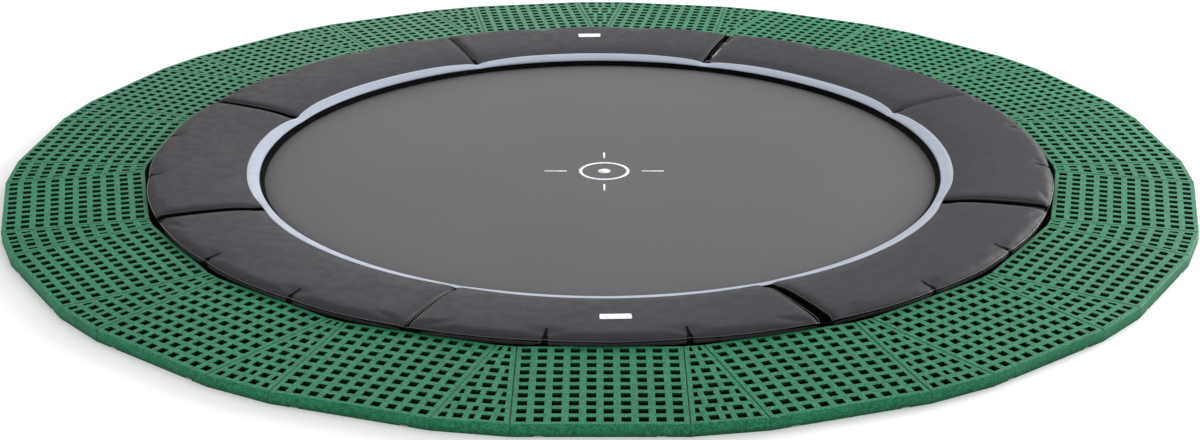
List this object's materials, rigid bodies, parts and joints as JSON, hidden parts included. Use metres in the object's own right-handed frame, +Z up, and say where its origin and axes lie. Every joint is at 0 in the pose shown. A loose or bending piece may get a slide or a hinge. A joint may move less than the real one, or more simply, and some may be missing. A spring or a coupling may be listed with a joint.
{
  "type": "ground-level trampoline",
  "caption": "Round trampoline sunk level with the ground, with a sprung jumping mat, padded edge and a ring of perforated rubber safety tiles around it.",
  "frame": {"origin": "centre of the trampoline at ground level, the plane that the tiles lie on", "axes": "+Z up, -Y front"},
  "size_m": [4.8026, 4.7863, 0.3719],
  "materials": {
    "tile_rubber": "matt bonded granules",
    "galvanised_steel": "galvanised",
    "zinc_steel": "bright zinc",
    "pad_vinyl": "coated fabric, satin",
    "pale_vinyl": "coated fabric, satin",
    "black_vinyl": "coated fabric, glossy",
    "mat_mesh": "woven, matt",
    "black_webbing": "woven, matt",
    "pad_foam": "closed-cell foam",
    "elastic": "woven elastic"
  },
  "bodies": {
    "frame": {"square_tile_01": "tile_rubber", "square_tile_02": "tile_rubber", "square_tile_03": "tile_rubber", "square_tile_04": "tile_rubber", "square_tile_05": "tile_rubber", "square_tile_06": "tile_rubber", "square_tile_07": "tile_rubber", "square_tile_08": "tile_rubber", "square_tile_09": "tile_rubber", "square_tile_10": "tile_rubber", "square_tile_11": "tile_rubber", "square_tile_12": "tile_rubber", "square_tile_13": "tile_rubber", "square_tile_14": "tile_rubber", "square_tile_15": "tile_rubber", "square_tile_16": "tile_rubber", "square_tile_17": "tile_rubber", "square_tile_18": "tile_rubber", "square_tile_19": "tile_rubber", "wedge_tiles": "tile_rubber", "top_rail_01": "galvanised_steel", "top_rail_02": "galvanised_steel", "top_rail_03": "galvanised_steel", "top_rail_04": "galvanised_steel", "top_rail_05": "galvanised_steel", "top_rail_06": "galvanised_steel", "top_rail_07": "galvanised_steel", "top_rail_08": "galvanised_steel", "leg_01": "galvanised_steel", "leg_02": "galvanised_steel", "leg_03": "galvanised_steel", "leg_04": "galvanised_steel", "leg_05": "galvanised_steel", "leg_06": "galvanised_steel", "leg_07": "galvanised_steel", "leg_08": "galvanised_steel", "pad_cover_01": "pad_vinyl", "pad_cover_02": "pad_vinyl", "pad_cover_03": "pad_vinyl", "pad_cover_04": "pad_vinyl", "pad_cover_05": "pad_vinyl", "pad_cover_06": "pad_vinyl", "pad_cover_07": "pad_vinyl", "pad_cover_08": "pad_vinyl", "frame_screws": "zinc_steel", "springs": "zinc_steel", "pad_foam": "pad_foam", "pad_binding": "pale_vinyl", "pad_skirt": "black_vinyl", "pad_straps": "elastic"},
    "mat": {"jumping_mat": "mat_mesh", "mat_hem": "black_webbing", "mat_tabs": "black_webbing", "v_rings": "zinc_steel"}
  },
  "joints": [
    {"name": "mat_bounce", "type": "slide", "parent": "frame", "child": "mat", "axis": [0, 0, 1], "range_m": [-0.22, 0], "stiffness_N_per_m": 4500, "springref_m": 0.022, "deforming": ["springs"]}
  ]
}
